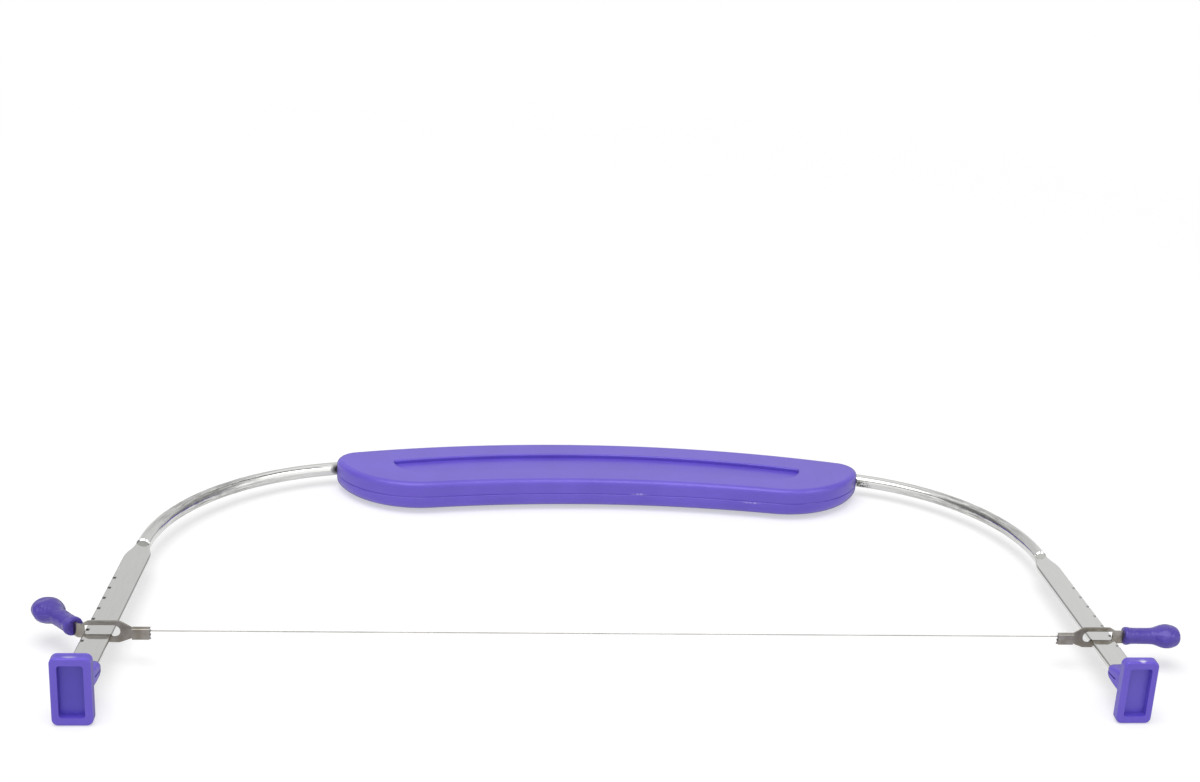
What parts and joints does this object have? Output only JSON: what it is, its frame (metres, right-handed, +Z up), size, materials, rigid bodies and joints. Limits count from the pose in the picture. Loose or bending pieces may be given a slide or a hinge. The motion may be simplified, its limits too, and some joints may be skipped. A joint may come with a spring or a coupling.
{
  "type": "cake leveler",
  "caption": "Wire cake leveler: a bent rod bow with a moulded handle, feet, and a thin cutting wire whose clips hook into notched legs.",
  "frame": {"origin": "bottom centre of the whole tool as it lies flat on a table", "axes": "+X along the cutting wire, to the right seen from the feet; +Y from the feet to the handle; +Z up, off the table"},
  "size_m": [0.3044, 0.1568, 0.0181],
  "materials": {
    "bright_rod": "polished rod, satin flats",
    "purple_plastic": "satin moulded",
    "clip_metal": "rolled and pressed",
    "wire_steel": "fine twisted strand"
  },
  "bodies": {
    "frame": {"bow": "bright_rod", "handle_upper_shell": "purple_plastic", "handle_lower_shell": "purple_plastic", "left_foot": "purple_plastic", "right_foot": "purple_plastic"},
    "left_clip": {"left_wire_clip": "clip_metal", "left_grip": "purple_plastic"},
    "right_clip": {"right_wire_clip": "clip_metal", "right_grip": "purple_plastic"},
    "wire": {"cutting_wire": "wire_steel"}
  },
  "joints": [
    {"name": "left_clip_slide", "type": "slide", "parent": "frame", "child": "left_clip", "axis": [0.0459, 0.9983, -0.0347], "range_m": [-0.00607, 0.03642]},
    {"name": "right_clip_slide", "type": "slide", "parent": "frame", "child": "right_clip", "axis": [-0.0459, 0.9983, -0.0347], "range_m": [-0.00607, 0.03642]},
    {"name": "wire_slide", "type": "slide", "parent": "frame", "child": "wire", "axis": [0, 0.9994, -0.0347], "range_m": [-0.00607, 0.03642]}
  ],
  "couplings": [
    {"joint": "right_clip_slide", "follows": "left_clip_slide", "ratio": 1},
    {"joint": "wire_slide", "follows": "left_clip_slide", "ratio": 0.99895}
  ]
}
